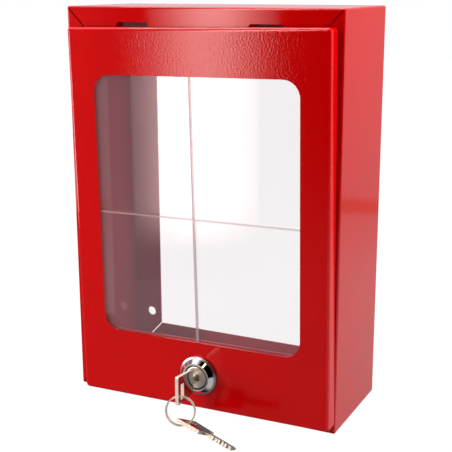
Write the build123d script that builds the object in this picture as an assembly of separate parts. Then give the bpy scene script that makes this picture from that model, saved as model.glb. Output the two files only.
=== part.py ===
"""Break glass key box: an open-backed folded steel case, a hook-hung glazed door and a cam lock."""
from build123d import *
import os
from math import atan2, cos, degrees, pi, radians, sin, sqrt, tan

# Frame: X to the right, +Y from the door to the wall, +Z up, in millimetres.
# The origin is the centre of the four wall holes, on the plane of the case's back.

# Case: one ring of folded sheet, flanged inward at the front and at the back, with no back plate
CASE_W = 200.0
CASE_H = 275.0
CASE_D = 80.0
SHEET = 1.2                 # sheet thickness of case and door
BEND_R = 1.6                # outside radius of the case's folds
FRONT_FLANGE = 18.0
BACK_FLANGE_SIDE = 23.0
BACK_FLANGE_END = 25.0
MITRE_GAP = 0.8             # open joint between two flanges at a corner
WALL_HOLE_D = 7.0
WALL_HOLE_INSET_X = 14.5
WALL_HOLE_INSET_Z = 34.0

# Door: a shallow tray that hangs by two hooks in slots of the top front flange
DOOR_SIDE = 5.5             # case's side beyond the door's side
DOOR_FOOT = 4.2             # door's lower edge above the case's lower edge
DOOR_HEAD = 12.3            # door's upper edge below the case's upper edge
DOOR_PROUD = 11.0           # door's front ahead of the case's front
DOOR_BEND_R = 2.6           # outside radius of the door's folds
DOOR_GAP = 0.5              # rear edge of the door's returns to the case's front
DOOR_SLANT = 0.85           # the door hangs askew in its slots' play, its foot to the right
DOOR_SHIFT = 1.1            # middle of the door's top to the right of the case's middle
HOOK_PITCH = 97.0
HOOK_W = 20.6
HOOK_REACH = 3.2            # inside of the flange to the upturned end
HOOK_RISE = 4.0             # upturned end above the tab
SLOT_SIDE_PLAY = 1.6
SLOT_ABOVE = 2.2            # slot's upper edge above the tab
SLOT_BELOW = 1.8            # slot's lower edge below the tab
SLOT_CORNER_R = 1.0

# Window, pane and the strips that hold the pane
STILE = 20.0                # door's sheet to each side of the window
TOP_RAIL = 31.0             # above the window
FOOT_RAIL = 48.1            # below the window
WINDOW_R = 11.5
PANE_T = 2.0
PANE_LAP_SIDE = 7.0
PANE_LAP_TOP = 8.0
PANE_LAP_FOOT = 4.0
GROOVE_DEPTH = 0.9          # scored V lines on the pane's inner face
GROOVE_DROP = 3.3           # level line below the window's centre
RAIL_T = 1.0
RAIL_FOOT = 6.0
BOTTOM_RAIL_FOOT = 4.2      # narrower, to clear the lock's nut
RAIL_LIP = 4.5
RAIL_PLAY = 0.3
RAIL_END = 1.0

# Lock: chrome housing through the door, turning plug, wafers, cam and their fastenings
LOCK_FOOT = 24.8            # lock axis above the door's lower edge
HEAD_D = 27.5
HEAD_EDGE = 1.4             # height of the head's outer edge
HEAD_SHOULDER = 2.2         # height of the shoulder at the bevel's foot
HEAD_PROUD = 5.0
HEAD_BEVEL_D = 24.8         # foot of the bevel
HEAD_FACE_D = 19.7          # flat ring around the plug
BARREL_D = 20.0
BARREL_FLATS = 18.0
BARREL_LEN = 20.0           # behind the door's front
BARREL_HOLE_PLAY = 0.2
THREAD_PITCH = 1.5
THREAD_DEPTH = 0.6
PLUG_HEAD_D = 16.2
PLUG_HEAD_T = 2.0
PLUG_HEAD_GAP = 0.55        # open ring around the plug's head
PLUG_SUNK = 0.4
PLUG_D = 14.0
PLUG_PLAY = 0.06            # running clearance on the radius
PLUG_END_PLAY = 0.1
KEYWAY_PLAY = 0.2
MOUTH_W = 1.3               # recess beside the keyway, in the plug's face
MOUTH_H = 4.4
MOUTH_DEPTH = 1.6
WARD_T = 0.5
WARD_H = 1.4
GROOVE_W = 7.2              # housing grooves that take the wafers
GROOVE_R = 8.1

WAFER_COUNT = 5
WAFER_PITCH = 3.0
WAFER_FIRST = 3.6           # first wafer behind the plug's face
WAFER_T = 0.8
WAFER_W = 6.4
WAFER_PLAY = 0.1
WAFER_RISE = 0.6            # travel when the key leaves
WAFER_EAR = 1.4
WAFER_EAR_H = 0.9
WAFER_EAR_Z = -2.9          # ear's centre below the plug's axis
SPRING_D = 1.1
SPRING_WIRE = 0.2
SPRING_H = 1.4
SPRING_TURNS = 4

TAIL = 8.0                  # square end of the plug
TAIL_PLAY = 0.1
STOP_D = 17.2
STOP_T = 0.8
STOP_TAB_W = 5.0
STOP_LUG_LEN = 1.0
STOP_LUG_IN = 8.9
STOP_TAB_R = 9.8
STOP_PLAY = 0.2
LOCK_TURN = 90.0            # quarter turn from open to locked
CAM_T = 2.0
CAM_W = 13.0
CAM_REACH = 22.5
CAM_CRANK_R = 12.2          # radius where the cam turns forward
CAM_CRANK_RUN = 4.0
CAM_HUB_R = 7.5
CAM_FLANGE_GAP = 2.2        # cam's tip behind the case's front flange
CAM_GAP = 0.3
WASHER_T = 0.8
WASHER_D = 12.0
SCREW_D = 5.0
SCREW_PLAY = 0.05
SCREW_HEAD_AF = 8.0
SCREW_HEAD_T = 3.5
SCREW_LEN = 6.0
NUT_AF = 26.0
NUT_T = 4.0
NUT_PLAY = 0.05
TOOTH_WASHER_D = 25.0
TOOTH_WASHER_T = 0.8
TOOTH_COUNT = 12
TOOTH_GAP = 2.0
TOOTH_DEPTH = 1.8

# Keys and split ring
KEY_T = 2.4
BOW_LEN = 20.3
BOW_H = 20.0                # at the bow's outer end
BOW_NECK_H = 16.0           # at its shoulder
BOW_CORNER_R = 1.0
KEY_SLOT_R = 0.7
KEY_SLOT_W = 4.6
KEY_SLOT_H = 10.8
KEY_SLOT_END = 3.0          # slot's outer edge from the bow's end
KEY_SLOT_DROP = 1.5
BLADE_H = 5.2
BLADE_LEN = 26.2
BLADE_TIP = 2.0
KEY_SHOULDER_GAP = 6.0      # bow's shoulder ahead of the plug's face
BITTING = (0.8, 0.3, 0.9, 0.4, 1.0)
BITTING_FLAT = 1.0
RING_D = 20.6
RING_WIRE_R = 1.1           # radial width of the flat wire
RING_WIRE_T = 0.85
RING_PITCH = 0.95
RING_TURNS = 1.93
RING_PLAY = 1.0             # ring's wire above the slot's lower end
RING_YAW = 18.0             # ring turned toward the right-hand side
RING_TILT = 12.0            # ring's foot swung away from the door
SPARE_PLACE = 59.5          # spare key's place on the ring, below its right-hand side
SPARE_AZIMUTH = -17.8
SPARE_DIP = 6.4
SPARE_BANK = -26.5          # plain edge rolled down about the tip's direction
SPARE_SLACK = -0.08         # slot's middle beyond the wire, toward the tip
SPARE_SHIFT = 2.24          # and toward the key's plain edge

# Planes and levels that several pieces share
CASE_FRONT = -CASE_D
DOOR_FRONT = CASE_FRONT - DOOR_PROUD
DOOR_BACK = DOOR_FRONT + SHEET
DOOR_BOTTOM = -CASE_H / 2 + DOOR_FOOT
DOOR_TOP = CASE_H / 2 - DOOR_HEAD
DOOR_W = CASE_W - 2 * DOOR_SIDE
WINDOW_W = DOOR_W - 2 * STILE
WINDOW_BOTTOM = DOOR_BOTTOM + FOOT_RAIL
WINDOW_TOP = DOOR_TOP - TOP_RAIL
PANE_BACK = DOOR_BACK + PANE_T
PANE_BOTTOM = WINDOW_BOTTOM - PANE_LAP_FOOT
PANE_TOP = WINDOW_TOP + PANE_LAP_TOP
PANE_HALF = WINDOW_W / 2 + PANE_LAP_SIDE
LOCK_DROP = DOOR_TOP - DOOR_BOTTOM - LOCK_FOOT
LOCK_X = DOOR_SHIFT + LOCK_DROP * sin(radians(DOOR_SLANT))
LOCK_Z = DOOR_TOP - LOCK_DROP * cos(radians(DOOR_SLANT))
HEAD_FRONT = DOOR_FRONT - HEAD_PROUD
PLUG_FACE = HEAD_FRONT + PLUG_SUNK
BARREL_END = DOOR_FRONT + BARREL_LEN
STOP_FRONT = BARREL_END + STOP_PLAY
STOP_BACK = STOP_FRONT + STOP_T
CAM_FRONT = BARREL_END + STOP_LUG_LEN + CAM_GAP
CAM_BACK = CAM_FRONT + CAM_T
CAM_TIP_FRONT = CASE_FRONT + SHEET + CAM_FLANGE_GAP
WASHER_BACK = CAM_BACK + WASHER_T
KEY_SHOULDER = PLUG_FACE - KEY_SHOULDER_GAP
KEY_SLOT_Y = -BOW_LEN + KEY_SLOT_END + KEY_SLOT_W / 2
RING_MEAN = (RING_D - RING_WIRE_R) / 2
BORE_R = PLUG_D / 2 + PLUG_PLAY


def block(xs, ys, zs):
    """A box between pairs of limits on each axis."""
    size = [b - a for a, b in (xs, ys, zs)]
    middle = [(a + b) / 2 for a, b in (xs, ys, zs)]
    return Pos(*middle) * Box(*size)


def rod(radius, y0, y1, z=0.0, x=0.0):
    """A cylinder along Y."""
    return Pos(x, (y0 + y1) / 2, z) * Rot(90, 0, 0) * Cylinder(radius, y1 - y0)


def turned(points):
    """A solid turned about Y from (radius, y) points."""
    outline = make_face(Polyline(*points, close=True))
    return revolve(outline, Axis.Y)


def plate(points, half):
    """A plate in the YZ plane from (y, z) points, half thickness to each side."""
    outline = make_face(Polyline(*points, close=True))
    return Plane.YZ * extrude(outline, half, both=True)


def at_lock(shape):
    """Moves a shape that was made on the Y axis to the lock's axis."""
    return Pos(LOCK_X, 0, LOCK_Z) * shape


def hung(shape):
    """Moves a piece of a door that was made true with the case to where the door hangs."""
    return Pos(DOOR_SHIFT, 0, DOOR_TOP) * Rot(0, -DOOR_SLANT, 0) * Pos(0, 0, -DOOR_TOP) * shape


def slit(start, end, ys, width):
    """A narrow box in the XZ plane from one point to another."""
    dx, dz = end[0] - start[0], end[1] - start[1]
    place = Pos((start[0] + end[0]) / 2, (ys[0] + ys[1]) / 2, (start[1] + end[1]) / 2)
    bar = Box(sqrt(dx * dx + dz * dz), ys[1] - ys[0], width)
    return place * Rot(0, -degrees(atan2(dz, dx)), 0) * bar


def hexagon(across_flats, y0, y1):
    """A hexagonal prism along Y, flats up and down, with its corners turned off at both ends."""
    radius = across_flats / sqrt(3)
    prism = Pos(0, y1, 0) * Rot(90, 0, 0) * extrude(RegularPolygon(radius, 6), y1 - y0)
    crown = (radius - across_flats / 2) * tan(radians(30))
    rim = turned([(0, y0), (across_flats / 2, y0), (radius, y0 + crown),
                  (radius, y1 - crown), (across_flats / 2, y1), (0, y1)])
    return prism & rim


def make_case():
    """Four walls with folded flanges, mitred corners, hook slots and wall holes."""
    x, z = CASE_W / 2, CASE_H / 2
    body = block((-x, x), (CASE_FRONT, 0), (-z, z))
    body = fillet(body.edges(), BEND_R)
    body -= block((SHEET - x, x - SHEET), (CASE_FRONT + SHEET, -SHEET), (SHEET - z, z - SHEET))
    front_x, front_z = x - FRONT_FLANGE, z - FRONT_FLANGE
    body -= block((-front_x, front_x), (CASE_FRONT, CASE_FRONT + SHEET), (-front_z, front_z))
    back_x, back_z = x - BACK_FLANGE_SIDE, z - BACK_FLANGE_END
    body -= block((-back_x, back_x), (-SHEET, 0), (-back_z, back_z))
    front_skin, back_skin = (CASE_FRONT, CASE_FRONT + SHEET), (-SHEET, 0)
    for side in (-1, 1):
        for end in (-1, 1):
            corner = (side * (x - SHEET), end * (z - SHEET))
            front_mouth = (side * (front_x - MITRE_GAP), end * (front_z - MITRE_GAP))
            back_mouth = (side * (back_x - MITRE_GAP), end * (back_z - MITRE_GAP))
            body -= slit(corner, front_mouth, front_skin, MITRE_GAP)
            body -= slit(corner, back_mouth, back_skin, MITRE_GAP)
            hole_x, hole_z = side * (x - WALL_HOLE_INSET_X), end * (z - WALL_HOLE_INSET_Z)
            body -= rod(WALL_HOLE_D / 2, -SHEET, 0, hole_z, hole_x)
        body -= hook_slot(side * HOOK_PITCH / 2)
    return body


def hook_slot(x):
    """The opening in the top front flange for one of the door's hooks."""
    half = HOOK_W / 2 + SLOT_SIDE_PLAY
    levels = (DOOR_TOP - SHEET - SLOT_BELOW, DOOR_TOP + SLOT_ABOVE)
    opening = block((x - half, x + half), (CASE_FRONT, CASE_FRONT + SHEET), levels)
    return fillet(opening.edges().filter_by(Axis.Y), SLOT_CORNER_R)


def folded(shape, radius):
    """Rounds every edge of a box except those of its rear face."""
    return fillet(shape.edges() - shape.faces().sort_by(Axis.Y)[-1].edges(), radius)


def make_door():
    """The folded tray with its window, lock hole and two hooks."""
    x = DOOR_W / 2
    rear = CASE_FRONT - DOOR_GAP
    tray = block((-x, x), (DOOR_FRONT, rear), (DOOR_BOTTOM, DOOR_TOP))
    tray = folded(tray, DOOR_BEND_R)
    inside_z = (DOOR_BOTTOM + SHEET, DOOR_TOP - SHEET)
    inside = block((SHEET - x, x - SHEET), (DOOR_BACK, rear), inside_z)
    tray -= folded(inside, DOOR_BEND_R - SHEET)
    window_x = (-WINDOW_W / 2, WINDOW_W / 2)
    window = block(window_x, (DOOR_FRONT, DOOR_BACK), (WINDOW_BOTTOM, WINDOW_TOP))
    tray -= fillet(window.edges().filter_by(Axis.Y), WINDOW_R)
    for side in (-1, 1):
        tray += hook(side * HOOK_PITCH / 2)
    hole = rod(BARREL_D / 2 + BARREL_HOLE_PLAY, DOOR_FRONT, DOOR_BACK)
    return hung(tray) - at_lock(hole & barrel_flats(BARREL_HOLE_PLAY))


def hook(x):
    """One hook: a tab through the flange's slot, with its end turned up behind the flange."""
    width = (x - HOOK_W / 2, x + HOOK_W / 2)
    bend = CASE_FRONT + SHEET + HOOK_REACH
    tab = block(width, (CASE_FRONT - DOOR_GAP - BEND_R, bend), (DOOR_TOP - SHEET, DOOR_TOP))
    end = block(width, (bend - SHEET, bend), (DOOR_TOP - SHEET, DOOR_TOP + HOOK_RISE))
    return tab + end


def barrel_flats(play):
    """The two-flat shape that stops the housing from turning in the door."""
    half = BARREL_FLATS / 2 + play
    return block((-half, half), (DOOR_FRONT, BARREL_END + STOP_LUG_LEN), (-BARREL_D, BARREL_D))


def make_pane():
    """Clear sheet with a scored cross, so that it breaks along known lines."""
    pane = block((-PANE_HALF, PANE_HALF), (DOOR_BACK, PANE_BACK), (PANE_BOTTOM, PANE_TOP))
    level = (WINDOW_BOTTOM + WINDOW_TOP) / 2 - GROOVE_DROP
    side = GROOVE_DEPTH * sqrt(2)
    pane -= Pos(0, PANE_BACK, level) * Rot(45, 0, 0) * Box(2 * PANE_HALF, side, side)
    upright = Rot(0, 0, 45) * Box(side, side, PANE_TOP - PANE_BOTTOM)
    pane -= Pos(0, PANE_BACK, (PANE_BOTTOM + PANE_TOP) / 2) * upright
    return hung(pane)


def rail(length, foot_width):
    """A folded strip along Z: foot on the door, step clear of the pane's edge, lip behind the pane.

    The pane's edge is at x = 0 and the pane lies on the -X side.
    """
    run = (-length / 2, length / 2)
    outside = RAIL_PLAY + RAIL_T
    lip_front = PANE_BACK + RAIL_PLAY
    foot = block((RAIL_PLAY, outside + foot_width), (DOOR_BACK, DOOR_BACK + RAIL_T), run)
    step = block((RAIL_PLAY, outside), (DOOR_BACK, lip_front + RAIL_T), run)
    lip = block((-RAIL_LIP, outside), (lip_front, lip_front + RAIL_T), run)
    return foot + step + lip


def make_side_rail(side):
    """The strip along one upright edge of the pane."""
    length = PANE_TOP - PANE_BOTTOM - RAIL_END
    strip = Pos(PANE_HALF, 0, (PANE_TOP + PANE_BOTTOM + RAIL_END) / 2) * rail(length, RAIL_FOOT)
    return hung(strip if side > 0 else mirror(strip, Plane.YZ))


def make_bottom_rail():
    """The strip that the pane stands on, between the two upright strips."""
    length = 2 * (PANE_HALF - RAIL_LIP - RAIL_END)
    strip = Rot(0, 90, 0) * rail(length, BOTTOM_RAIL_FOOT)
    return hung(Pos(0, 0, PANE_BOTTOM + RAIL_PLAY) * strip)


def make_housing():
    """Bevelled head, threaded barrel with two flats, bore, wafer grooves and stop lugs."""
    edge, shoulder = DOOR_FRONT - HEAD_EDGE, DOOR_FRONT - HEAD_SHOULDER
    crest, root = BARREL_D / 2, BARREL_D / 2 - THREAD_DEPTH
    outline = [(0, HEAD_FRONT), (HEAD_FACE_D / 2, HEAD_FRONT), (HEAD_BEVEL_D / 2, shoulder),
               (HEAD_D / 2, edge), (HEAD_D / 2, DOOR_FRONT), (crest, DOOR_FRONT), (crest, DOOR_BACK)]
    y = DOOR_BACK
    while y + THREAD_PITCH < BARREL_END:
        outline += [(root, y + THREAD_PITCH / 2), (crest, y + THREAD_PITCH)]
        y += THREAD_PITCH
    outline += [(crest, BARREL_END), (0, BARREL_END)]
    body = turned(outline)
    body += stop_lugs()
    barrel = (DOOR_FRONT, BARREL_END + STOP_LUG_LEN)
    body -= block((-HEAD_D, -BARREL_FLATS / 2), barrel, (-HEAD_D, HEAD_D))
    body -= block((BARREL_FLATS / 2, HEAD_D), barrel, (-HEAD_D, HEAD_D))
    head_floor = PLUG_FACE + PLUG_HEAD_T + PLUG_END_PLAY
    body -= rod(PLUG_HEAD_D / 2 + PLUG_HEAD_GAP, HEAD_FRONT, head_floor)
    body -= rod(BORE_R, head_floor, BARREL_END)
    half, reach = GROOVE_W / 2, GROOVE_R
    depth = (head_floor, BARREL_END)
    body -= block((-half, half), depth, (-reach, reach))
    body -= block((-reach, reach), depth, (-half, half))
    return at_lock(body)


def stop_lugs():
    """Raised arc on the barrel's end; its gap lets the stop washer's tab swing a quarter turn."""
    ring = rod(BARREL_D / 2, BARREL_END, BARREL_END + STOP_LUG_LEN)
    ring -= rod(STOP_LUG_IN, BARREL_END, BARREL_END + STOP_LUG_LEN)
    allowance = degrees((STOP_TAB_W / 2 + STOP_PLAY) / STOP_LUG_IN)
    half_gap = LOCK_TURN / 2 + allowance
    middle = degrees(pi) - LOCK_TURN / 2      # the tab starts at the left, and ends at the top
    reach = BARREL_D
    start, end = radians(middle - half_gap), radians(middle + half_gap)
    gap = make_face(Polyline((0, 0), (reach * cos(start), reach * sin(start)),
                             (reach * cos(radians(middle)), reach * sin(radians(middle))),
                             (reach * cos(end), reach * sin(end)), close=True))
    wedge = Plane.XZ * extrude(gap, CASE_D, both=True)
    return ring - wedge


def make_nut():
    """Hexagon nut that clamps the housing from inside the door."""
    start = DOOR_BACK + TOOTH_WASHER_T
    nut = hexagon(NUT_AF, start, start + NUT_T)
    return at_lock(nut - rod(BARREL_D / 2 + NUT_PLAY, start, start + NUT_T))


def make_tooth_washer():
    """Toothed lock washer between the nut and the door."""
    back = DOOR_BACK + TOOTH_WASHER_T
    edge = TOOTH_WASHER_D / 2
    ring = rod(edge, DOOR_BACK, back) - rod(BARREL_D / 2 + NUT_PLAY, DOOR_BACK, back)
    gap = (-TOOTH_GAP / 2, TOOTH_GAP / 2)
    notch = block((edge - TOOTH_DEPTH / 2, edge + TOOTH_DEPTH), (DOOR_BACK, back), gap)
    for turn in range(TOOTH_COUNT):
        ring -= Rot(0, turn * 360 / TOOTH_COUNT, 0) * notch
    return at_lock(ring)


def wafer_places():
    """The wafers' middle planes along the lock's axis."""
    return [PLUG_FACE + WAFER_FIRST + WAFER_PITCH * i for i in range(WAFER_COUNT)]


def make_plug():
    """Turning plug: head, keyway with a ward and a mouth, wafer slots, spring pockets, square tail."""
    body = rod(PLUG_HEAD_D / 2, PLUG_FACE, PLUG_FACE + PLUG_HEAD_T)
    body += rod(PLUG_D / 2, PLUG_FACE + PLUG_HEAD_T, STOP_FRONT)
    tail = block((-TAIL / 2, TAIL / 2), (STOP_FRONT, CAM_BACK), (-TAIL / 2, TAIL / 2))
    body += tail
    half_x, half_z = KEY_T / 2 + KEYWAY_PLAY, BLADE_H / 2 + KEYWAY_PLAY
    keyway_end = KEY_SHOULDER + BLADE_LEN + KEYWAY_PLAY
    keyway = block((-half_x, half_x), (PLUG_FACE, keyway_end), (-half_z, half_z))
    keyway -= block((half_x - WARD_T, half_x), (PLUG_FACE, keyway_end), (-WARD_H / 2, WARD_H / 2))
    body -= keyway
    mouth = (PLUG_FACE, PLUG_FACE + MOUTH_DEPTH)
    body -= block((0, half_x + MOUTH_W), mouth, (-MOUTH_H / 2, MOUTH_H / 2))
    slot_x, slot_y = WAFER_W / 2 + WAFER_PLAY, WAFER_T / 2 + WAFER_PLAY
    for y in wafer_places():
        body -= block((-slot_x, slot_x), (y - slot_y, y + slot_y), (-PLUG_D, PLUG_D))
        body -= spring_pocket(y)
    body -= rod(SCREW_D / 2 + SCREW_PLAY, WASHER_BACK - SCREW_LEN - SCREW_PLAY, CAM_BACK)
    return at_lock(body)


def ear_middle():
    """Distance of a wafer's ear from the lock's axis."""
    return WAFER_W / 2 + WAFER_EAR / 2


def spring_pocket(y):
    """Side pocket in the plug for one wafer's ear and its spring."""
    half = SPRING_D / 2 + WAFER_PLAY
    top = WAFER_EAR_Z + WAFER_EAR_H / 2 + WAFER_RISE + WAFER_PLAY
    floor = WAFER_EAR_Z - WAFER_EAR_H / 2 - SPRING_H
    outer = ear_middle() + WAFER_EAR / 2 + WAFER_PLAY
    return block((WAFER_W / 2, outer), (y - half, y + half), (floor, top))


def make_wafer(y):
    """One wafer: a plate with round ends, a window for the key's blade and a side ear."""
    ys = (y - WAFER_T / 2, y + WAFER_T / 2)
    outline = rod(PLUG_D / 2, *ys)
    outline &= block((-WAFER_W / 2, WAFER_W / 2), ys, (-PLUG_D, PLUG_D))
    window_x = KEY_T / 2 + KEYWAY_PLAY
    window_z = BLADE_H / 2 + KEYWAY_PLAY
    outline -= block((-window_x, window_x), ys, (-window_z - WAFER_RISE, window_z))
    ear_z = (WAFER_EAR_Z - WAFER_EAR_H / 2, WAFER_EAR_Z + WAFER_EAR_H / 2)
    ear = block((window_x, WAFER_W / 2 + WAFER_EAR), ys, ear_z)
    return at_lock(outline + ear)


def make_springs():
    """One small coil spring under each wafer's ear."""
    rise = SPRING_H - 2 * SPRING_WIRE
    radius = (SPRING_D - SPRING_WIRE) / 2
    path = Helix(rise / SPRING_TURNS, rise, radius)
    wire = sweep(Plane(path @ 0, z_dir=path % 0) * Circle(SPRING_WIRE / 2), path, is_frenet=True)
    floor = WAFER_EAR_Z - WAFER_EAR_H / 2 - SPRING_H + SPRING_WIRE
    return Compound(children=[at_lock(Pos(ear_middle(), y, floor) * wire) for y in wafer_places()])


def make_stop_washer():
    """Washer on the plug's square with the tab that limits the turn."""
    half = TAIL / 2 + TAIL_PLAY
    washer = rod(STOP_D / 2, STOP_FRONT, STOP_BACK)
    washer += block((-STOP_TAB_R, 0), (STOP_FRONT, STOP_BACK), (-STOP_TAB_W / 2, STOP_TAB_W / 2))
    washer -= block((-half, half), (STOP_FRONT, STOP_BACK), (-half, half))
    return at_lock(washer)


def make_cam():
    """Cranked cam: hub on the plug's square, arm brought forward to close behind the flange."""
    tip_back = CAM_TIP_FRONT + CAM_T
    crank_end = CAM_CRANK_R + CAM_CRANK_RUN
    hub = rod(CAM_HUB_R, CAM_FRONT, CAM_BACK)
    hub += block((0, CAM_CRANK_R + CAM_T), (CAM_FRONT, CAM_BACK), (-CAM_W / 2, CAM_W / 2))
    profile = [(CAM_CRANK_R, CAM_FRONT), (CAM_CRANK_R + CAM_T, CAM_BACK),
               (crank_end + CAM_T, tip_back), (CAM_REACH, tip_back),
               (CAM_REACH, CAM_TIP_FRONT), (crank_end, CAM_TIP_FRONT)]
    arm = extrude(make_face(Polyline(*profile, close=True)), CAM_W / 2, both=True)
    nose = rod(CAM_REACH, CAM_TIP_FRONT, CAM_BACK)
    half = TAIL / 2 + TAIL_PLAY
    cam = (hub + arm) & nose
    cam -= block((-half, half), (CAM_FRONT, CAM_BACK), (-half, half))
    return at_lock(cam)


def make_cam_washer():
    """Plain washer under the cam's screw."""
    ring = rod(WASHER_D / 2, CAM_BACK, WASHER_BACK)
    ring -= rod(SCREW_D / 2 + SCREW_PLAY, CAM_BACK, WASHER_BACK)
    return at_lock(ring)


def make_cam_screw():
    """Hexagon screw that holds the cam on the plug."""
    head = hexagon(SCREW_HEAD_AF, WASHER_BACK, WASHER_BACK + SCREW_HEAD_T)
    shank = rod(SCREW_D / 2, WASHER_BACK - SCREW_LEN, WASHER_BACK)
    return at_lock(head + shank)


def flat_key():
    """A cut key in its own frame: shoulder at y = 0, tip toward +Y, bitting on its -Z edge."""
    neck, bow, blade = BOW_NECK_H / 2, BOW_H / 2, BLADE_H / 2
    half = KEY_T / 2
    head = plate([(0, -neck), (0, neck), (-BOW_LEN, bow), (-BOW_LEN, -bow)], half)
    head = fillet(head.edges().filter_by(Axis.X), BOW_CORNER_R)
    slot = block((-half, half), (KEY_SLOT_Y - KEY_SLOT_W / 2, KEY_SLOT_Y + KEY_SLOT_W / 2),
                 (-KEY_SLOT_DROP - KEY_SLOT_H / 2, -KEY_SLOT_DROP + KEY_SLOT_H / 2))
    head -= fillet(slot.edges().filter_by(Axis.X), KEY_SLOT_R)
    edge = [(-BOW_CORNER_R, blade), (BLADE_LEN - BLADE_TIP, blade), (BLADE_LEN, 0),
            (BLADE_LEN - BLADE_TIP, -blade), (-BOW_CORNER_R, -blade)]
    shaft = plate(edge, half)
    first = PLUG_FACE + WAFER_FIRST - KEY_SHOULDER
    for i, cut in enumerate(BITTING):
        y = first + i * WAFER_PITCH
        flat = BITTING_FLAT / 2
        shaft -= plate([(y - flat - cut, -blade), (y - flat, cut - blade), (y + flat, cut - blade),
                        (y + flat + cut, -blade)], half)
    ward = WARD_H / 2 + KEYWAY_PLAY
    shaft -= block((half - WARD_T, half), (BOW_CORNER_R, BLADE_LEN), (-ward, ward))
    return head + shaft


def make_turned_key():
    """The key that stands in the lock, its bow upright."""
    return Pos(LOCK_X, KEY_SHOULDER, LOCK_Z) * flat_key()


def ring_plane():
    """Plane of the split ring at its centre: X to the right, Y up to the turned key's slot."""
    yaw, tilt = radians(RING_YAW), radians(RING_TILT)
    along = Vector(cos(yaw), sin(yaw), 0)
    ahead = along.cross(Vector(0, 0, 1))
    up = Vector(0, 0, 1) * cos(tilt) - ahead * sin(tilt)
    slot_foot = LOCK_Z - KEY_SLOT_DROP - KEY_SLOT_H / 2
    held = Vector(LOCK_X, KEY_SHOULDER + KEY_SLOT_Y, slot_foot + RING_PLAY + RING_WIRE_R / 2)
    return Plane(origin=held - up * RING_MEAN, x_dir=along, z_dir=along.cross(up))


def make_split_ring():
    """Flat wire wound about two turns, one against the other."""
    height = RING_PITCH * RING_TURNS
    path = Helix(RING_PITCH, height, RING_MEAN)
    start = Plane(path @ 0, x_dir=Vector(1, 0, 0), z_dir=path % 0)
    coil = sweep(start * Rectangle(RING_WIRE_R, RING_WIRE_T), path, is_frenet=True)
    return ring_plane() * Pos(0, 0, -height / 2) * coil


def spare_plane():
    """Plane of the spare key at the ring's wire: X its normal, Y toward its tip, Z its width."""
    ring = ring_plane()
    place = radians(SPARE_PLACE)
    crossing = ring.origin + (ring.x_dir * cos(place) - ring.y_dir * sin(place)) * RING_MEAN
    azimuth, dip, bank = radians(SPARE_AZIMUTH), radians(SPARE_DIP), radians(SPARE_BANK)
    tip = Vector(cos(azimuth) * cos(dip), sin(azimuth) * cos(dip), -sin(dip))
    level = (Vector(0, 0, 1) - tip * tip.Z).normalized()
    normal = level * cos(bank) + tip.cross(level) * sin(bank)
    return Plane(origin=crossing, x_dir=normal, z_dir=normal.cross(tip))


def make_spare_key():
    """The second key, threaded on the split ring and lying off to the right."""
    threaded = Pos(0, SPARE_SLACK - KEY_SLOT_Y, SPARE_SHIFT + KEY_SLOT_DROP)
    return spare_plane() * threaded * flat_key()


nodes = {
    "case": make_case(),
    "door_panel": make_door(),
    "pane": make_pane(),
    "pane_rail_left": make_side_rail(-1),
    "pane_rail_right": make_side_rail(1),
    "pane_rail_bottom": make_bottom_rail(),
    "lock_housing": make_housing(),
    "lock_nut": make_nut(),
    "lock_tooth_washer": make_tooth_washer(),
    "lock_plug": make_plug(),
    "wafer_springs": make_springs(),
    "stop_washer": make_stop_washer(),
    "lock_cam": make_cam(),
    "cam_washer": make_cam_washer(),
    "cam_screw": make_cam_screw(),
    "turned_key": make_turned_key(),
    "split_ring": make_split_ring(),
    "spare_key": make_spare_key(),
}
for number, place in enumerate(wafer_places(), start=1):
    nodes[f"wafer_{number}"] = make_wafer(place)

os.makedirs("parts", exist_ok=True)
for name, shape in nodes.items():
    export_step(shape, f"parts/{name}.step")
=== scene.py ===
from math import cos, radians, sin

import bpy
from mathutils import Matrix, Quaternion, Vector


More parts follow.
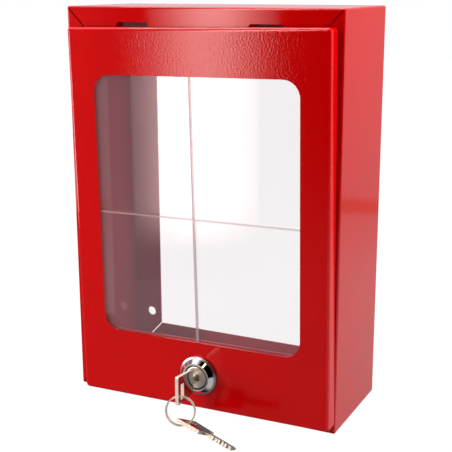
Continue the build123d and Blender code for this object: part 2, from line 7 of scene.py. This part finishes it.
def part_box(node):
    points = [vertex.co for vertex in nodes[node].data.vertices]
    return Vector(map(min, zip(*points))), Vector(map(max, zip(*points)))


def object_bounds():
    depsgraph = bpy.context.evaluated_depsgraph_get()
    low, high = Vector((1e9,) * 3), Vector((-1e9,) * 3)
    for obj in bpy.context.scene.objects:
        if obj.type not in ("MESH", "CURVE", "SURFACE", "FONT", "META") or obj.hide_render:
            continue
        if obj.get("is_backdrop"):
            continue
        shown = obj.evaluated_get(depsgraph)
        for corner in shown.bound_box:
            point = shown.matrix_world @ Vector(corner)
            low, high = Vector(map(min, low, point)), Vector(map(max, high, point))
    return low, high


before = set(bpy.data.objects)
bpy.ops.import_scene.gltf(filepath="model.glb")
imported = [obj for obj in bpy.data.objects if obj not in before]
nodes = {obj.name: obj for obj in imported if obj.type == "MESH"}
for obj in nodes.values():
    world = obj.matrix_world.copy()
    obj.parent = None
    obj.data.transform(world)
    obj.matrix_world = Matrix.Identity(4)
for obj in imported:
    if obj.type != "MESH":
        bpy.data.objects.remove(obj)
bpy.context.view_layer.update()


# Studio: a white table top under the box and an even white room behind it, dark in
# front. A tall soft lamp stands at the left, and small ones beside and above the box.
class Signal:
    """One value, vector or colour that runs through a finish's nodes."""

    def __init__(self, finish, socket):
        self.finish, self.socket = finish, socket

    def math(self, operation, *others):
        return self.finish.node("Math", {"operation": operation}, dict(enumerate((self, *others))))

    def __add__(self, other):
        return self.math("ADD", other)

    def __sub__(self, other):
        return self.math("SUBTRACT", other)

    def __rsub__(self, other):
        return self.finish.node("Math", {"operation": "SUBTRACT"}, {0: other, 1: self})

    def __mul__(self, other):
        return self.math("MULTIPLY", other)

    def __truediv__(self, other):
        return self.math("DIVIDE", other)

    def __rtruediv__(self, other):
        return self.finish.node("Math", {"operation": "DIVIDE"}, {0: other, 1: self})

    def __pow__(self, other):
        return self.math("POWER", other)

    def __rpow__(self, other):
        return self.finish.node("Math", {"operation": "POWER"}, {0: other, 1: self})

    def __neg__(self):
        return self * -1.0

    __radd__ = __add__
    __rmul__ = __mul__

    def size(self):
        return self.math("ABSOLUTE")

    def step(self, start, end):
        """0 before start and 1 after end, smooth between."""
        return self.finish.node("MapRange", {"interpolation_type": "SMOOTHSTEP"},
                                {"Value": self, "From Min": start, "From Max": end})


class Finish:
    """The nodes of one material, of the room or of a lamp."""

    def __init__(self, owner):
        self.owner = owner
        owner.use_nodes = True
        self.tree = owner.node_tree
        self.tree.nodes.clear()

    def node(self, kind, settings=None, sockets=None, out=0):
        made = self.tree.nodes.new("ShaderNode" + kind)
        for name, value in (settings or {}).items():
            setattr(made, name, value)
        for name, value in (sockets or {}).items():
            socket = made.inputs[name]
            if isinstance(value, Signal):
                self.tree.links.new(value.socket, socket)
            elif socket.type == "RGBA" and len(value) == 3:
                socket.default_value = (*value, 1.0)
            else:
                socket.default_value = value
        return Signal(self, made.outputs[out]) if made.outputs else None

    def place(self, out="Object"):
        return self.node("TexCoord", out=out)

    def parts(self, vector):
        split = self.node("SeparateXYZ", sockets={"Vector": vector}).socket.node
        return [Signal(self, socket) for socket in split.outputs]

    def along(self, vector, way):
        """How much of a direction lies along another."""
        return self.node("VectorMath", {"operation": "DOT_PRODUCT"}, {0: vector, 1: way},
                         out="Value")

    def stretched(self, vector, scale):
        return self.node("VectorMath", {"operation": "MULTIPLY"}, {0: vector, 1: scale})

    def speckle(self, vector, grain, detail=2.0, roughness=0.5):
        """Noise whose lumps are grain metres across."""
        return self.node("TexNoise", {"noise_dimensions": "3D"},
                         {"Vector": vector, "Scale": 1 / grain, "Detail": detail,
                          "Roughness": roughness})

    def blend(self, share, first, second):
        return self.node("Mix", {"data_type": "RGBA"}, {0: share, 6: first, 7: second}, out=2)

    def bumped(self, height, depth, under=None):
        sockets = {"Height": height, "Distance": depth}
        if under:
            sockets["Normal"] = under
        return self.node("Bump", sockets=sockets)

    def skin(self, **values):
        return self.node("BsdfPrincipled", sockets={name.replace("_", " "): value
                                                    for name, value in values.items()})

    def glow(self, colour, power):
        return self.node("Emission", sockets={"Color": colour, "Strength": power})

    def close(self, shader, end="OutputMaterial"):
        self.node(end, sockets={"Surface": shader})
        return self.owner


def finish_for(name):
    return Finish(bpy.data.materials.new(name))


def coat(material, *names):
    """Puts one finish on every slot of these pieces."""
    for name in names:
        piece = nodes[name] if isinstance(name, str) else name
        if not piece.data.materials:
            piece.data.materials.append(material)
        for slot in piece.material_slots:
            slot.material = material


def sheet_of(name, corners):
    """A flat four-cornered face."""
    mesh = bpy.data.meshes.new(name)
    mesh.from_pydata(corners, [], [(0, 1, 2, 3)])
    made = bpy.data.objects.new(name, mesh)
    bpy.context.scene.collection.objects.link(made)
    return made


def soft_panel(name, fabric, corners, colour, power):
    """An evenly lit lamp that lights the box but isn't seen itself."""
    panel = sheet_of(name, corners)
    lit_fabric = finish_for(fabric)
    coat(lit_fabric.close(lit_fabric.glow(colour, power)), panel)
    panel.visible_camera = False
    panel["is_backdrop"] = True
    return panel


bpy.context.scene.view_settings.view_transform = "Standard"
bpy.context.scene.view_settings.look = "None"

room = bpy.data.worlds.new("studio_room")
bpy.context.scene.world = room
air = Finish(room)
heading = air.place("Generated")
across, ahead, up = air.parts(heading)
seen = air.node("LightPath", out="Is Camera Ray")
front = 1 - ahead.step(-0.1, 0.2)
low = (-up).step(0.15, 0.3)
rightward = across.step(0.05, 0.45)
leftward = (-across).step(0.05, 0.25)

WALL_GLOW, SCREEN_RIGHT_GLOW, SCREEN_LEFT_GLOW = 0.6, 0.7, 0.17
CEILING_GLOW, FLOOR_RIGHT_GLOW, FLOOR_LEFT_GLOW, BULB_GLOW = 1.2, 0.45, 0.15, 3.0
RIGHT_WALL_SHADE, RIGHT_FLOOR_GAIN, UNDER_BOX_SHADE = 0.25, 0.24, 0.8
under_box = leftward * (-up).step(0.04, 0.10)
right_wall = across.step(0.05, 0.2)
right_floor = (-up).step(0.222, 0.30) * (1 - (-up).step(0.34, 0.46) * 0.8)
wall_behind = (1 - front) * (1 - (-up).step(0.5, 0.8)) * (1 - under_box * UNDER_BOX_SHADE)
wall_behind = (wall_behind * WALL_GLOW
               * (1 - right_wall * (RIGHT_WALL_SHADE - right_floor * RIGHT_FLOOR_GAIN)))
screen_right = across.step(0.5, 0.9) * ahead.step(-0.25, 0.2) * SCREEN_RIGHT_GLOW
screen_left = (-across).step(0.50, 0.58) * front * (1 - low) * SCREEN_LEFT_GLOW
ceiling = up.step(0.6, 0.75) * (1 - up.step(0.88, 0.94)) * ahead.step(-0.5, -0.3)
ceiling = ceiling * (1 - across.step(-0.2, 0.05)) * CEILING_GLOW
floor_right = low * rightward * front * FLOOR_RIGHT_GLOW
floor_left = low * (1 - rightward) * front * FLOOR_LEFT_GLOW

BULB_WAY = (0.346, -0.451, 0.823)
bulb = air.along(heading, BULB_WAY).step(0.9955, 0.9985)
glow = (wall_behind + screen_right + screen_left + ceiling + floor_right + floor_left
        + bulb * BULB_GLOW)

SKIRTING_UP = -0.2235
WHITE, ROSE = (1.0, 1.0, 1.0), (1.20, 0.96, 1.04)
ORANGE, BULB_YELLOW = (1.0, 0.58, 0.45), (1.0, 0.86, 0.42)
skirting = 1 - (up - SKIRTING_UP).size().step(0.004, 0.010)
tone = air.blend((1 - front) * leftward * (1 - seen), WHITE, ROSE)
tone = air.blend(skirting * right_wall * (1 - front) * (1 - seen), tone, ORANGE)
tone = air.blend(bulb * (1 - seen), tone, BULB_YELLOW)
air.close(air.node("Background", sockets={"Color": tone, "Strength": seen + (1 - seen) * glow}),
          "OutputWorld")

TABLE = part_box("case")[0].z
TABLE_REACH = 3.0
table_top = sheet_of("table_top", [(-TABLE_REACH, -TABLE_REACH, TABLE),
                                   (TABLE_REACH, -TABLE_REACH, TABLE),
                                   (TABLE_REACH, TABLE_REACH, TABLE),
                                   (-TABLE_REACH, TABLE_REACH, TABLE)])
POOL_X, POOL_Y, POOL_NEAR, POOL_FAR = 0.05, -0.22, 0.08, 0.35
POOL_LIGHT, TABLE_LIGHT, TABLE_SEEN = (0.50, 0.49, 0.48), (0.12, 0.12, 0.12), (0.99, 0.99, 0.99)
cloth = finish_for("white_table")
cloth_x, cloth_y, _ = cloth.parts(cloth.place())
from_pool = ((cloth_x - POOL_X) ** 2 + (cloth_y - POOL_Y) ** 2) ** 0.5
lit = cloth.blend(1 - from_pool.step(POOL_NEAR, POOL_FAR), TABLE_LIGHT, POOL_LIGHT)
bright = cloth.blend(cloth.node("LightPath", out="Is Camera Ray"), lit, TABLE_SEEN)
coat(cloth.close(cloth.skin(Base_Color=(0.03, 0.03, 0.03), Roughness=0.9, Emission_Color=bright,
                            Emission_Strength=1.0)), table_top)
table_top.visible_glossy = False
table_top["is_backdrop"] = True

LAMP_MIDDLE, LAMP_ALONG = Vector((-0.2713, -0.6326, 0.270)), Vector((0.8902, -0.4556, 0.0))
LAMP_WIDTH, LAMP_HEIGHT = 0.163, 1.0
LAMP_TONE, LAMP_POWER, LAMP_SPREAD = (1.42, 0.985, 0.95), 5.7, 0.47
lamp_side = LAMP_ALONG * (LAMP_WIDTH / 2)
lamp_up = Vector((0.0, 0.0, LAMP_HEIGHT / 2))
lamp = sheet_of("soft_lamp", [LAMP_MIDDLE - lamp_side - lamp_up, LAMP_MIDDLE - lamp_side + lamp_up,
                              LAMP_MIDDLE + lamp_side + lamp_up, LAMP_MIDDLE + lamp_side - lamp_up])
silk = finish_for("lamp_silk")
lamp_x, lamp_y, lamp_z = silk.parts(silk.place())
off_middle = ((lamp_x - LAMP_MIDDLE.x) * LAMP_ALONG.x + (lamp_y - LAMP_MIDDLE.y) * LAMP_ALONG.y)
off_middle = off_middle / (LAMP_WIDTH / 2)
hot = (off_middle * off_middle / -LAMP_SPREAD).math("EXPONENT")
foot = lamp_z.step(-0.195, -0.120)
head = 1 + lamp_z.step(0.08, 0.12) * 0.1 + lamp_z.step(0.18, 0.36) * 0.7
coat(silk.close(silk.glow(LAMP_TONE, hot * LAMP_POWER * foot * head)), lamp)
lamp.visible_camera = False
lamp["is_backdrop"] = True

beside_box = soft_panel("side_lamp", "side_lamp_gauze",
                        [(0.65, -0.075, 0.20), (0.65, 0.0, 0.20),
                         (0.50, 0.0, 0.65), (0.50, -0.075, 0.65)], (1.0, 1.0, 1.0), 43.0)
beside_box.visible_glossy = False
soft_panel("left_lamp", "left_lamp_canvas",
           [(-0.62, -0.25, -0.13), (-0.62, -0.25, 0.18),
            (-0.46, -0.50, 0.18), (-0.46, -0.50, -0.13)], (1.0, 0.99, 0.97), 5.5)
soft_panel("top_lamp", "top_lamp_muslin",
           [(-0.35, -0.07, 0.60), (-0.35, -0.01, 0.60),
            (0.08, -0.01, 0.60), (0.08, -0.07, 0.60)], (1.0, 1.0, 1.0), 17.0)

SPOT, AIM = Vector((0.29685, -0.63762, 0.15325)), Vector((0.03844, -0.11639, 0.00645))
LEAN, LENS = -0.2175, 77.23
eye = bpy.data.cameras.new("camera")
eye.lens, eye.sensor_width = LENS, 36.0
camera = bpy.data.objects.new("camera", eye)
bpy.context.scene.collection.objects.link(camera)
camera.rotation_mode = "QUATERNION"
camera.location = SPOT
camera.rotation_quaternion = ((AIM - SPOT).to_track_quat("-Z", "Y")
                              @ Quaternion((0, 0, 1), radians(LEAN)))
bpy.context.scene.camera = camera


# Case: one ring of folded steel sheet with flanges at its front and back, mitred at the
# corners. It is sprayed with red powder and baked, which leaves a faint orange peel.
# The door's hooks get a painted shade: dark red, with a duller gloss.
HOOK_PAINTED_SHADE, HOOK_DULL_ROUGH = 0.10, 0.5


def powder_red(name, shade, rough, peel, depth, painted_shade_from=None):
    """Baked powder with lumps peel metres across; behind the y that the last argument gives, a dark
    red painted shade and a duller gloss.
    """
    coated = finish_for(name)
    where = coated.place()
    cloudy = coated.speckle(where, 0.045, 3.0)
    red = coated.blend(cloudy.step(0.35, 0.7), (shade, 0.0009, 0.0016),
                       (shade * 0.96, 0.0008, 0.0014))
    lumps = coated.speckle(where, peel, 1.0, 0.4)
    sheen = rough + coated.speckle(where, 0.012, 3.0) * 0.02
    if painted_shade_from is not None:
        # Painted shade: the hooks seen through the case's slots are painted dark red, and made
        # duller.
        shaded_hooks = coated.parts(where)[1].step(painted_shade_from, painted_shade_from + 0.0008)
        red = coated.blend(shaded_hooks, red, (HOOK_PAINTED_SHADE, 0.0009, 0.0016))
        sheen = sheen + shaded_hooks * HOOK_DULL_ROUGH
    return coated.close(coated.skin(Base_Color=red, Roughness=sheen, IOR=1.5,
                                    Normal=coated.bumped(lumps, depth)))


def softened(names, width, steps=2):
    """Rounds the sharp edges of these pieces, as stamping, plating or paint does."""
    for name in names:
        bevel = nodes[name].modifiers.new("softened_edges", "BEVEL")
        bevel.width, bevel.segments = width, steps
        bevel.limit_method, bevel.angle_limit = "ANGLE", radians(50)
        bevel.harden_normals = False


# Painted shade: the case's red is set darker than the door's, though both wear the same powder, to
# even out the light that falls on each.
coat(powder_red("case_red_powder", 0.60, 0.05, 0.0022, 0.000008), "case")


# Door: a folded tray of the same sheet, with a rounded window and two hooks bent back
# from its top edge. Its powder coat has a coarser orange peel than the case's. The hooks
# are painted dark red as painted shade, and their gloss is duller.
HOOKS_FRONT = -0.0800
coat(powder_red("door_red_powder", 0.67, 0.055, 0.0013, 0.00007, painted_shade_from=HOOKS_FRONT),
     "door_panel")
softened(["door_panel"], 0.0003)


# Pane strips: narrow folded strips behind the window that hold the pane at both sides
# and at its foot, so that a new one slides in from above. They are powder coated as well.
coat(powder_red("strip_red_powder", 0.70, 0.12, 0.0015, 0.00001),
     "pane_rail_left", "pane_rail_right", "pane_rail_bottom")


# Pane: a clear sheet that is broken in an emergency. It is scored with a cross on its
# inner face, so that it breaks into quarters, and it slides into the strips.
SCORE_HALF = 0.0006
UPRIGHT_X, UPRIGHT_Z, UPRIGHT_LEAN = 0.0007, 0.0100, radians(1.27)
LEVEL_X, LEVEL_Z, LEVEL_LEAN, LEVEL_DROP = 0.0011, 0.1252, radians(0.85), 0.1250
CLEAR_TINT, UPRIGHT_TINT, LEVEL_TINT = (0.80, 0.70, 0.82), (0.55, 0.42, 0.45), (0.80, 0.58, 0.60)
HAZE, LEVEL_HAZE, UPRIGHT_GAIN, STRAIGHT_ON_GLOSS = 0.086, 0.34, 2.1, 0.04
glass = finish_for("scored_clear_pane")
side, _, level = glass.parts(glass.place())


def scored_line(distance):
    return 1 - distance.size().step(SCORE_HALF * 0.8, SCORE_HALF)


upright = scored_line((side - UPRIGHT_X) * cos(UPRIGHT_LEAN)
                      + (level - UPRIGHT_Z) * sin(UPRIGHT_LEAN))
level_line = scored_line((side - LEVEL_X) * sin(LEVEL_LEAN)
                         - (level - LEVEL_Z) * cos(LEVEL_LEAN) - LEVEL_DROP)
score = upright.math("MAXIMUM", level_line)
cloud = level_line.math("MAXIMUM", upright * UPRIGHT_GAIN)
tint = glass.blend(score, CLEAR_TINT, glass.blend(level_line, UPRIGHT_TINT, LEVEL_TINT))
haze = glass.skin(Base_Color=tint, Roughness=0.4, Specular_IOR_Level=0.0,
                  Alpha=HAZE + cloud * LEVEL_HAZE)
bowed = glass.bumped(side * -0.012, 1.0)
shine = glass.node("BsdfGlossy", sockets={"Color": (1.0, 1.0, 1.0), "Roughness": 0.02,
                                          "Normal": bowed})
slanting = glass.node("LayerWeight", sockets={"Blend": 0.5}, out="Facing")
mirror = STRAIGHT_ON_GLOSS + (slanting ** 5) * (1 - STRAIGHT_ON_GLOSS)
coat(glass.close(glass.node("MixShader", sockets={0: mirror * (1 - score * 0.8), 1: haze,
                                                  2: shine})), "pane")


# Lock housing: a turned and chromed head with a threaded barrel behind the door,
# clamped by a toothed washer and a hexagon nut. Both of those are plated with zinc.
LOCK_X, LOCK_Z = 0.004567, -0.108474
FACE_RING_R, FACE_RING_HALF, SHOULDER_R, BORE_R = 0.00925, 0.0006, 0.0124, 0.0087
# The shoulder's pink and lavender tint is a painted reflection on the chrome.
CHROME, SHOULDER_PAINTED_REFLECTION, SHADOW = (0.88, 0.89, 0.90), (0.60, 0.48, 0.53), (0.02, 0.02, 0.02)


def from_axis(metal, where):
    """A place's distance from the lock's axis, and how far across and up that is."""
    x, _, z = metal.parts(where)
    off_x, off_z = x - LOCK_X, z - LOCK_Z
    return (off_x * off_x + off_z * off_z) ** 0.5, off_x, off_z


chrome = finish_for("polished_chrome")
where = chrome.place()
radius, _, _ = from_axis(chrome, where)
face_ring = 1 - (radius - FACE_RING_R).size().step(FACE_RING_HALF, FACE_RING_HALF * 1.05)
shoulder = radius.step(SHOULDER_R - 0.0001, SHOULDER_R + 0.0001)
bored = 1 - radius.step(BORE_R - 0.00003, BORE_R)
# Painted reflection: the shoulder's chrome is tinted pink and lavender.
plate = chrome.blend(bored, chrome.blend(shoulder, CHROME, SHOULDER_PAINTED_REFLECTION), SHADOW)
haziness = (0.05 + chrome.speckle(where, 0.004, 3.0) * 0.05 + shoulder * 0.25
            + face_ring * 0.42)
turned_marks = chrome.bumped(chrome.speckle(where, 0.006), 0.00001)
coat(chrome.close(chrome.skin(Base_Color=plate, Metallic=1.0, Roughness=haziness,
                              Normal=turned_marks)), "lock_housing")
softened(["lock_housing"], 0.00012)


def plated(name, colour, low, spread, grain, metallic=1.0):
    """Plated metal whose patches are grain metres across and duller by turns."""
    metal = finish_for(name)
    where = metal.place()
    patches = metal.speckle(where, grain, 4.0, 0.6)
    dull = tuple(c * 0.86 for c in colour)
    ripple = metal.bumped(metal.speckle(where, grain * 0.15), 0.000006)
    return metal.close(metal.skin(Base_Color=metal.blend(patches.step(0.3, 0.75), colour, dull),
                                  Metallic=metallic, Roughness=low + patches * spread,
                                  Normal=ripple))


zinc = plated("bright_zinc", (0.66, 0.68, 0.70), 0.22, 0.2, 0.006)
coat(zinc, "lock_nut", "lock_tooth_washer")


# Plug, wafers and springs: the nickelled core that the key turns, five brass wafers in
# its slots, and a steel wire spring under each.
RIM_R, PLUG_R = 0.0066, 0.0078
WORN_FROM, WORN_SLOPE = 0.0045, 0.9
nickel = finish_for("satin_nickel")
where = nickel.place()
radius, off_x, off_z = from_axis(nickel, where)
rim = radius.step(RIM_R, PLUG_R)
worn = (-WORN_FROM - off_z - off_x.size() * WORN_SLOPE).step(0.0, 0.0006)
blotches = nickel.speckle(where, 0.0045)
scratches = nickel.speckle(nickel.stretched(where, (1.0, 1.0, 4.0)), 0.0008, 2.0, 0.6)
dents = nickel.bumped(scratches, 0.00002,
                      under=nickel.bumped(blotches * 0.0006 - rim * 0.0003, 1.0))
scratched = nickel.blend(scratches.step(0.3, 0.7), (0.97, 0.92, 0.82), (0.80, 0.74, 0.64))
plug_face = nickel.blend(radius.step(PLUG_R - 0.0001, PLUG_R), scratched, SHADOW)
coat(nickel.close(nickel.skin(Base_Color=plug_face, Metallic=0.75,
                              Roughness=0.24 + scratches * 0.12 + worn * 0.3,
                              Normal=dents)), "lock_plug")
softened(["lock_plug"], 0.00015)
coat(plated("wafer_brass_sheet", (0.80, 0.58, 0.28), 0.25, 0.2, 0.003),
     *[f"wafer_{n}" for n in range(1, 6)])
coat(plated("spring_wire", (0.60, 0.60, 0.60), 0.25, 0.1, 0.001), "wafer_springs")


# Stop washer, cam, cam washer and screw: pressed steel plated with zinc. They sit on the
# plug's square end, and the screw holds them.
coat(zinc, "stop_washer", "lock_cam", "cam_washer", "cam_screw")


# Keys: two flat keys pressed from brass and nickel plated, one in the lock and one on
# the ring. Their edges are rough where the press sheared them, and the turned key's edges
# are painted pale cream as a painted highlight.
FACE_NICKEL, RUBBED_NICKEL = (0.66, 0.62, 0.58), (0.50, 0.44, 0.36)


def stamped_key(name, face_way, edge_tone_and_highlight, edge_dulling_and_highlight):
    """Polished nickel faces along face_way, and rougher edges; a pale edge colour is a painted
    highlight.
    """
    metal = finish_for(name)
    where = metal.place()
    sheared_highlit_edges = 1 - metal.along(metal.place("Normal"), face_way).size().step(0.75, 0.95)
    wear = metal.speckle(where, 0.003, 3.0, 0.6)
    torn = metal.speckle(metal.stretched(where, (3.0, 3.0, 1.0)), 0.0009, 2.0, 0.6)
    # Painted highlight: a pale, less metallic edge colour stands in for light caught on the edges.
    colour = metal.blend(sheared_highlit_edges, FACE_NICKEL, edge_tone_and_highlight)
    return metal.close(metal.skin(
        Base_Color=metal.blend(wear.step(0.45, 0.8) * 0.35, colour, RUBBED_NICKEL),
        Metallic=1 - sheared_highlit_edges * edge_dulling_and_highlight, Roughness=0.06 + wear * 0.06 + sheared_highlit_edges * 0.45,
        Normal=metal.bumped(torn * sheared_highlit_edges, 0.00004)))


# The turned key's cream edges are a painted highlight.
coat(stamped_key("turned_key_nickel", (1.0, 0.0, 0.0), (0.98, 0.93, 0.83), 0.7), "turned_key")
coat(stamped_key("spare_key_nickel", (0.231, 0.394, 0.889), (0.66, 0.62, 0.53), 0.1),
     "spare_key")
softened(["turned_key", "spare_key"], 0.00018)


# Split ring: two close turns of flat spring steel wire, nickel plated and rubbed dull. It
# goes through the slots in both keys' bows.
coat(plated("ring_nickel", (0.90, 0.85, 0.73), 0.45, 0.12, 0.002, metallic=0.4), "split_ring")
softened(["split_ring"], 0.00025, 3)

low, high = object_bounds()
